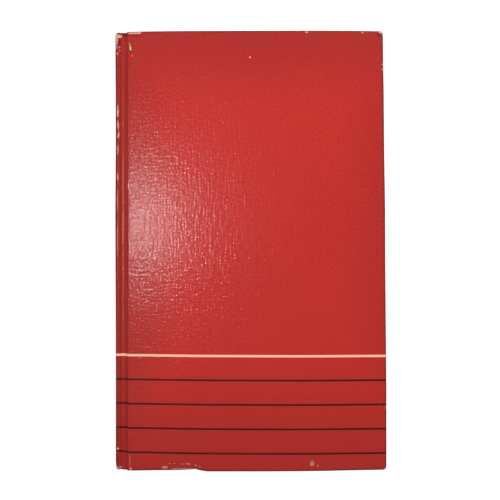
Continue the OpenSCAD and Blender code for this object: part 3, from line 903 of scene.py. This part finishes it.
def leaves():
    """The pack of leaves: thin plates, sewn in sections of 8, following the rounded back."""
    sizes = {"Width": LEAF_W * MM, "Height": LEAF_H * MM, "Pack": BLOCK_T * MM, "Leaves": LEAF_COUNT,
             "Back radius": BACK_RADIUS * MM, "Trim": 0.1 * MM, "Section": 8, "Seed": 7}
    tree, size, out = start_tree("leaves", sizes)
    # A leaf fills most of its pitch, so a thin gap parts it from the next
    pitch = add(tree, MATH, [size["Pack"], size["Leaves"]], **OVER)
    plate = add(tree, "GeometryNodeMeshCube", {"Size": add(tree, JOIN, [
        add(tree, MATH, [size["Width"], size["Trim"]], **MINUS),
        add(tree, MATH, [size["Height"], size["Trim"]], **MINUS),
        add(tree, MATH, [pitch, 0.94], **TIMES)])})
    line = add(tree, "GeometryNodeMeshLine", {
        "Count": size["Leaves"], "Offset": add(tree, JOIN, {2: pitch})})

    # A leaf is cut and sewn a little out of line, and so is its section
    index = add(tree, "GeometryNodeInputIndex")
    section = add(tree, MATH, [add(tree, MATH, [index, size["Section"]], **OVER)], operation="FLOOR")
    jogs = [add(tree, "FunctionNodeRandomValue", {
        2: -0.5, 3: 0.5, "ID": identity, "Seed": add(tree, MATH, [size["Seed"], seed], **PLUS)}, 1,
        data_type="FLOAT") for seed, identity in enumerate((index, section, index, section), 1)]
    half_trim = add(tree, MATH, [size["Trim"], 2.0], **OVER)
    jog_x, jog_y = (add(tree, MATH, [add(tree, MATH, pair, **PLUS), half_trim], **TIMES)
                    for pair in (jogs[:2], jogs[2:]))
    above = add(tree, MATH, [index, (LEAF_COUNT - 1) / 2], **MINUS)
    height = add(tree, MATH, [above, pitch], **TIMES)
    back = off_back(tree, size["Back radius"], height)
    offset = add(tree, JOIN, [add(tree, MATH, [back, jog_x], **PLUS), jog_y])
    moved = add(tree, "GeometryNodeSetPosition", {"Geometry": line, "Offset": offset})
    stacked = add(tree, "GeometryNodeInstanceOnPoints", {"Points": moved, "Instance": plate})
    real = add(tree, "GeometryNodeRealizeInstances", {0: stacked})
    middle_u = BACK_U + LEAF_W / 2 - HALF_W
    lifted = add(tree, "GeometryNodeTransform", {
        "Geometry": real,
        "Translation": (middle_u * MM, 0, (BLOCK_D + BLOCK_T / (2 * LEAF_COUNT)) * MM)})
    feed(out, {0: add(tree, "GeometryNodeSetMaterial", {"Geometry": lifted, "Material": LEAF})})
    return from_tree("leaves", tree, sizes, 20)


def headband(name, sign):
    """A headband at the head or the tail: a cord wound with red and cream thread in turn."""
    sizes = {"Length": (BLOCK_T - 0.6) * MM, "Turns": 18, "Bead radius": 0.55 * MM,
             "Thread radius": 0.27 * MM, "Back radius": BACK_RADIUS * MM}
    tree, size, out = start_tree(name, sizes)
    low, high = (add(tree, JOIN, {2: add(tree, MATH, [size["Length"], way], **OVER)})
                 for way in (-2.0, 2.0))
    line = add(tree, "GeometryNodeCurvePrimitiveLine", {"Start": low, "End": high})
    spread = add(tree, "GeometryNodeResampleCurve", {
        "Curve": line, "Count": add(tree, MATH, [size["Turns"], 2.0], **TIMES)})
    z = add(tree, SPLIT, [add(tree, "GeometryNodeInputPosition")], 2)
    bent = add(tree, "GeometryNodeSetPosition", {
        "Geometry": spread, "Offset": add(tree, JOIN, {0: off_back(tree, size["Back radius"], z)})})
    circles = ((14, "Bead radius"), (6, "Thread radius"), (12, "Bead radius"))
    loop, strand, cord = (
        add(tree, "GeometryNodeCurvePrimitiveCircle", {"Resolution": sides, "Radius": size[radius]},
            mode="RADIUS") for sides, radius in circles)
    coil = add(tree, "GeometryNodeCurveToMesh", {"Curve": loop, "Profile Curve": strand})
    core = add(tree, "GeometryNodeCurveToMesh", {
        "Curve": bent, "Profile Curve": cord, "Fill Caps": True})
    odd = add(tree, MATH, [add(tree, "GeometryNodeInputIndex"), 2.0], operation="MODULO")
    points = add(tree, "GeometryNodeCurveToPoints", {"Curve": bent}, mode="EVALUATED")
    parts = []
    even = add(tree, MATH, [1.0, odd], **MINUS)
    for chosen, material in ((odd, RED_THREAD), (even, CREAM_THREAD)):
        wound = add(tree, "GeometryNodeInstanceOnPoints", {
            "Points": points, "Selection": chosen, "Instance": coil,
            "Rotation": points.node.outputs["Rotation"]})
        parts.append((add(tree, "GeometryNodeRealizeInstances", {0: wound}), material))
    parts.append((core, CREAM_THREAD))
    joined = add(tree, "GeometryNodeJoinGeometry")
    for part, material in parts:
        feed(joined.node, {0: add(tree, "GeometryNodeSetMaterial", {
            "Geometry": part, "Material": material})})
    bead_u, bead_y = BACK_U + 0.6, LEAF_H / 2 + 0.35
    feed(out, {0: add(tree, "GeometryNodeTransform", {
        "Geometry": joined,
        "Translation": ((bead_u - HALF_W) * MM, sign * bead_y * MM, CASE_T / 2 * MM)})})
    return from_tree(name, tree, sizes, 60)


# Making the pieces

front_linen = cover_sheet("front_linen", True)
back_linen = cover_sheet("back_linen", False)
spine_linen = spine_sheet()
front_greyboard = board_slab("front_greyboard", True)
back_greyboard = board_slab("back_greyboard", False)
front_endpaper = endpaper_sheet("front_endpaper", True)
back_endpaper = endpaper_sheet("back_endpaper", False)
leaf_pack = leaves()
head_threads = headband("head_threads", 1)
tail_threads = headband("tail_threads", -1)

# The coverings of the covers and the endpapers keep their places in the book's frame, and the CAD
# nodes that they stand for are hidden. The spans listed with them run from the spine's crest to just
# past the joint's groove, and from the leaves to the board
BEND_FROM, BEND_TO = 1.6, 4.6
for piece, cover, start, end, slot, nodes in (
        (front_linen, "front_cover", BEND_FROM, BEND_TO, "covering",
         ("front_covering", "front_cream_stripe", "front_black_stripes")),
        (back_linen, "back_cover", BEND_FROM, BEND_TO, "covering",
         ("back_covering", "back_cream_stripe", "back_black_stripes")),
        (front_endpaper, "front_cover", LEAF_U, WALL_U, "endpaper", ("front_pastedown",)),
        (back_endpaper, "back_cover", LEAF_U, WALL_U, "endpaper", ("back_pastedown",))):
    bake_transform(piece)
    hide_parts(*nodes)
for piece, body, slot, nodes in (
        (spine_linen, "pages", "covering",
         ("spine_covering", "spine_cream_stripe", "spine_black_stripes")),
        (front_greyboard, "front_cover", "board", ("front_board",)),
        (back_greyboard, "back_cover", "board", ("back_board",)),
        (leaf_pack, "pages", "leaves", ("text_block",)),
        (head_threads, "pages", "headband", ("head_band",)),
        (tail_threads, "pages", "headband", ("tail_band",))):
    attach(piece, body)
    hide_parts(*nodes)

for node_name, material in (("front_flyleaf", FLYLEAF), ("back_flyleaf", FLYLEAF), ("gauze", MULL),
                            ("front_gauze_flap", MULL), ("back_gauze_flap", MULL),
                            ("spine_lining", KRAFT), ("spine_stiffener", BOARD)):
    mesh = frame["nodes"][node_name].data
    mesh.materials.clear()
    mesh.materials.append(material)


# Floor, light and camera

FLOOR_HALF, FLOOR_GLOW = 1.5, 0.85
FILL = 0.22
# Lamps: place in metres, size in metres, power in watts. The small one leaves the glare near the
# spine; the large one is a window past the head of the book.
LAMPS = {"glare_lamp": ((-0.165, 0.055, 0.826), 0.08, 2.75),
         "window": ((0.12, 0.60, 0.55), 0.30, 4.7)}
# The camera's lens in millimetres, its distance in metres, its tilt and roll in degrees, and how
# far its aim is off the cover's middle in millimetres
LENS, FAR, TILT, ROLL, AIM_X = 61.74, 0.380, 1.1, -0.17, -0.09


def backdrop_rays(tree):
    """1 for rays that show the background, straight or through gloss and glass, and 0 for light."""
    path = add(tree, "ShaderNodeLightPath").node
    seen = [path.outputs[name] for name in ("Is Camera Ray", "Is Glossy Ray", "Is Transmission Ray")]
    return combined(tree, seen, **MOST)


def floor():
    """A wide pale floor that shows white and keeps the book's shadow."""
    material, tree, shader = start_material("white_paper_sweep")
    feed(shader, {"Base Color": "#a8a8a8", "Roughness": 0.9})
    strength = add(tree, MATH, [backdrop_rays(tree), FLOOR_GLOW], **TIMES)
    glow = add(tree, "ShaderNodeEmission", {"Color": "#ffffff", "Strength": strength})
    both = add(tree, "ShaderNodeAddShader", [shader.outputs[0], glow])
    feed(tree.nodes["Material Output"], {"Surface": both})
    corners = [(FLOOR_HALF * x, FLOOR_HALF * y, 0) for x, y in ((-1, -1), (1, -1), (1, 1), (-1, 1))]
    add_mesh("floor", corners, [(0, 1, 2, 3)], material)


def world():
    """Even white surroundings, dimmer as light than as what is seen."""
    made = bpy.data.worlds.new("studio")
    bpy.context.scene.world = made
    made.use_nodes = True
    tree = made.node_tree
    shown = add(tree, MATH, [backdrop_rays(tree), 1 - FILL], **TIMES)
    level = add(tree, MATH, [FILL, shown], **PLUS)
    feed(tree.nodes["Background"], {"Color": "#ffffff", "Strength": level})


def lamp(name, place, size, watts):
    """A round lamp that looks at the middle of the book's footprint."""
    data = bpy.data.lights.new(name, "AREA")
    data.shape = "DISK"
    data.size = size
    data.energy = watts
    made = placed(name, data)
    made.location = place
    made.rotation_mode = "QUATERNION"
    made.rotation_quaternion = (-Vector(place)).to_track_quat("-Z", "Y")


def camera():
    """The photograph's camera: nearly straight above the front cover."""
    data = bpy.data.cameras.new("camera")
    data.lens = LENS
    data.sensor_width = 36.0
    data.clip_start, data.clip_end = 0.01, 10
    made = placed("camera", data)
    aim = Vector((AIM_X * MM, 0.0, CASE_T * MM))
    tilt = math.radians(TILT)
    made.location = aim + FAR * Vector((0, -math.sin(tilt), math.cos(tilt)))
    turn = (aim - made.location).to_track_quat("-Z", "Y").to_matrix()
    made.rotation_mode = "QUATERNION"
    made.rotation_quaternion = (turn @ Matrix.Rotation(math.radians(ROLL), 3, "Z")).to_quaternion()
    bpy.context.scene.camera = made


floor()
world()
for name, values in LAMPS.items():
    lamp(name, *values)
camera()
bpy.context.scene.view_settings.view_transform = "Standard"
